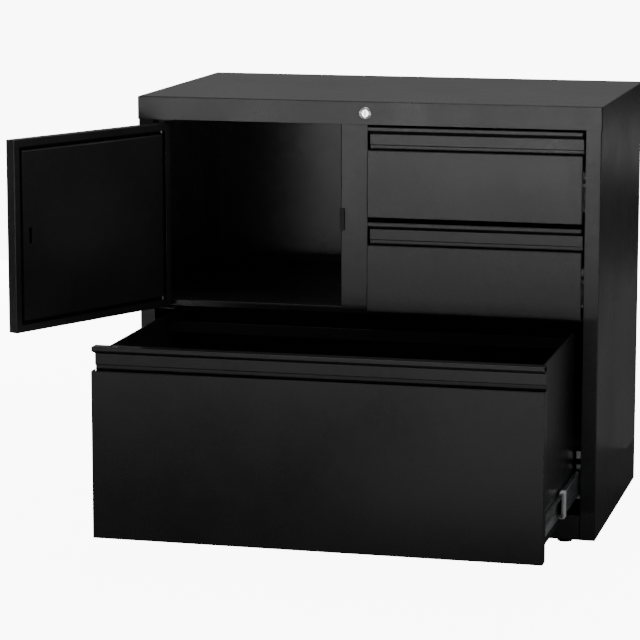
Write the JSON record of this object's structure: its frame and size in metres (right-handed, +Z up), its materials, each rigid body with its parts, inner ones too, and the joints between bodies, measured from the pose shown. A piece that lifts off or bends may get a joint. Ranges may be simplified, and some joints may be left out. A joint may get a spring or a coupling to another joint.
{
  "type": "metal filing cabinet",
  "caption": "Black steel office cabinet: full-width file drawer below, cupboard with hinged door on the left, box drawers on the right, keyed lock in the top edge.",
  "frame": {"origin": "on the floor, under the centre of the stored pose's box: door open 116.5 degrees and file drawer out 344 mm; the case's own centre line is 59.9 mm to +X and its closed front plane is at Y = -63.6 mm", "axes": "+Z up; +Y from the front to the back of the case; +X to the right seen from the front"},
  "size_m": [0.8818, 0.8152, 0.7112],
  "materials": {
    "black_paint": "satin powder coat",
    "zinc_steel": "bright zinc plate",
    "lock_chrome": "bright plated",
    "black_plastic": "moulded, matte"
  },
  "bodies": {
    "cabinet": {"back_panel": "black_paint", "base_pan": "black_paint", "center_divider": "black_paint", "door_hinge_plate_bottom": "black_paint", "door_hinge_plate_top": "black_paint", "door_magnet_catch": "black_plastic", "file_left_slide_case_member": "zinc_steel", "file_right_slide_case_member": "zinc_steel", "front_header": "black_paint", "left_front_slide_post": "black_paint", "left_rear_slide_post": "black_paint", "left_side_panel": "black_paint", "lock_housing": "lock_chrome", "lower_box_left_slide_case_member": "zinc_steel", "lower_box_right_slide_case_member": "zinc_steel", "middle_shelf": "black_paint", "right_front_slide_post": "black_paint", "right_front_upper_post": "black_paint", "right_rear_slide_post": "black_paint", "right_rear_upper_post": "black_paint", "right_side_panel": "black_paint", "toe_rail": "black_paint", "top_cap": "black_paint", "upper_box_left_slide_case_member": "zinc_steel", "upper_box_right_slide_case_member": "zinc_steel"},
    "door": {"door_outer_pan": "black_paint", "door_inner_pan": "black_paint", "door_hinge_pin_top": "black_paint", "door_hinge_pin_bottom": "black_paint", "door_strike_plate": "black_paint"},
    "lock_core": {"lock_plug": "lock_chrome", "lock_cam": "zinc_steel"},
    "lock_bar": {"lock_bar": "zinc_steel"},
    "glide_front_left": {"glide_front_left": "black_plastic"},
    "glide_front_right": {"glide_front_right": "black_plastic"},
    "glide_rear_left": {"glide_rear_left": "black_plastic"},
    "glide_rear_right": {"glide_rear_right": "black_plastic"},
    "file_drawer": {"file_front_skin": "black_paint", "file_front_backer": "black_paint", "file_tub": "black_paint", "file_left_slide_drawer_member": "zinc_steel", "file_right_slide_drawer_member": "zinc_steel", "file_hanging_rail_front": "black_paint", "file_hanging_rail_rear": "black_paint"},
    "file_left_slide_middle": {"file_left_slide_middle_member": "zinc_steel"},
    "file_right_slide_middle": {"file_right_slide_middle_member": "zinc_steel"},
    "upper_box_drawer": {"upper_box_front_skin": "black_paint", "upper_box_front_backer": "black_paint", "upper_box_tub": "black_paint", "upper_box_left_slide_drawer_member": "zinc_steel", "upper_box_right_slide_drawer_member": "zinc_steel"},
    "upper_box_left_slide_middle": {"upper_box_left_slide_middle_member": "zinc_steel"},
    "upper_box_right_slide_middle": {"upper_box_right_slide_middle_member": "zinc_steel"},
    "lower_box_drawer": {"lower_box_front_skin": "black_paint", "lower_box_front_backer": "black_paint", "lower_box_tub": "black_paint", "lower_box_left_slide_drawer_member": "zinc_steel", "lower_box_right_slide_drawer_member": "zinc_steel"},
    "lower_box_left_slide_middle": {"lower_box_left_slide_middle_member": "zinc_steel"},
    "lower_box_right_slide_middle": {"lower_box_right_slide_middle_member": "zinc_steel"}
  },
  "joints": [
    {"name": "door_swing", "type": "hinge", "parent": "cabinet", "child": "door", "pos_m": [-0.28313, -0.05755, 0.3655], "axis": [0, 0, 1], "range_deg": [0, 116.5]},
    {"name": "lock_turn", "type": "hinge", "parent": "cabinet", "child": "lock_core", "pos_m": [0.05987, -0.06355, 0.692], "axis": [0, -1, 0], "range_deg": [0, 90]},
    {"name": "lock_bar_slide", "type": "slide", "parent": "cabinet", "child": "lock_bar", "axis": [0, 0, -1], "range_m": [0, 0.01272]},
    {"name": "glide_turn_front_left", "type": "hinge", "parent": "cabinet", "child": "glide_front_left", "pos_m": [-0.26513, -0.02155, 0], "axis": [0, 0, 1], "continuous": true},
    {"name": "glide_turn_front_right", "type": "hinge", "parent": "cabinet", "child": "glide_front_right", "pos_m": [0.38487, -0.02155, 0], "axis": [0, 0, 1], "continuous": true},
    {"name": "glide_turn_rear_left", "type": "hinge", "parent": "cabinet", "child": "glide_rear_left", "pos_m": [-0.26513, 0.36425, 0], "axis": [0, 0, 1], "continuous": true},
    {"name": "glide_turn_rear_right", "type": "hinge", "parent": "cabinet", "child": "glide_rear_right", "pos_m": [0.38487, 0.36425, 0], "axis": [0, 0, 1], "continuous": true},
    {"name": "file_drawer_slide", "type": "slide", "parent": "cabinet", "child": "file_drawer", "axis": [0, -1, 0], "range_m": [-0.344, 0.056]},
    {"name": "file_left_middle_slide", "type": "slide", "parent": "cabinet", "child": "file_left_slide_middle", "axis": [0, -1, 0], "range_m": [-0.172, 0.028]},
    {"name": "file_right_middle_slide", "type": "slide", "parent": "cabinet", "child": "file_right_slide_middle", "axis": [0, -1, 0], "range_m": [-0.172, 0.028]},
    {"name": "upper_box_drawer_slide", "type": "slide", "parent": "cabinet", "child": "upper_box_drawer", "axis": [0, -1, 0], "range_m": [0, 0.39]},
    {"name": "upper_box_left_middle_slide", "type": "slide", "parent": "cabinet", "child": "upper_box_left_slide_middle", "axis": [0, -1, 0], "range_m": [0, 0.195]},
    {"name": "upper_box_right_middle_slide", "type": "slide", "parent": "cabinet", "child": "upper_box_right_slide_middle", "axis": [0, -1, 0], "range_m": [0, 0.195]},
    {"name": "lower_box_drawer_slide", "type": "slide", "parent": "cabinet", "child": "lower_box_drawer", "axis": [0, -1, 0], "range_m": [0, 0.39]},
    {"name": "lower_box_left_middle_slide", "type": "slide", "parent": "cabinet", "child": "lower_box_left_slide_middle", "axis": [0, -1, 0], "range_m": [0, 0.195]},
    {"name": "lower_box_right_middle_slide", "type": "slide", "parent": "cabinet", "child": "lower_box_right_slide_middle", "axis": [0, -1, 0], "range_m": [0, 0.195]}
  ],
  "couplings": [
    {"joint": "lock_turn", "follows": "lock_bar_slide", "rad_per_m": 123.41},
    {"joint": "file_left_middle_slide", "follows": "file_drawer_slide", "ratio": 0.5},
    {"joint": "file_right_middle_slide", "follows": "file_drawer_slide", "ratio": 0.5},
    {"joint": "upper_box_left_middle_slide", "follows": "upper_box_drawer_slide", "ratio": 0.5},
    {"joint": "upper_box_right_middle_slide", "follows": "upper_box_drawer_slide", "ratio": 0.5},
    {"joint": "lower_box_left_middle_slide", "follows": "lower_box_drawer_slide", "ratio": 0.5},
    {"joint": "lower_box_right_middle_slide", "follows": "lower_box_drawer_slide", "ratio": 0.5}
  ]
}
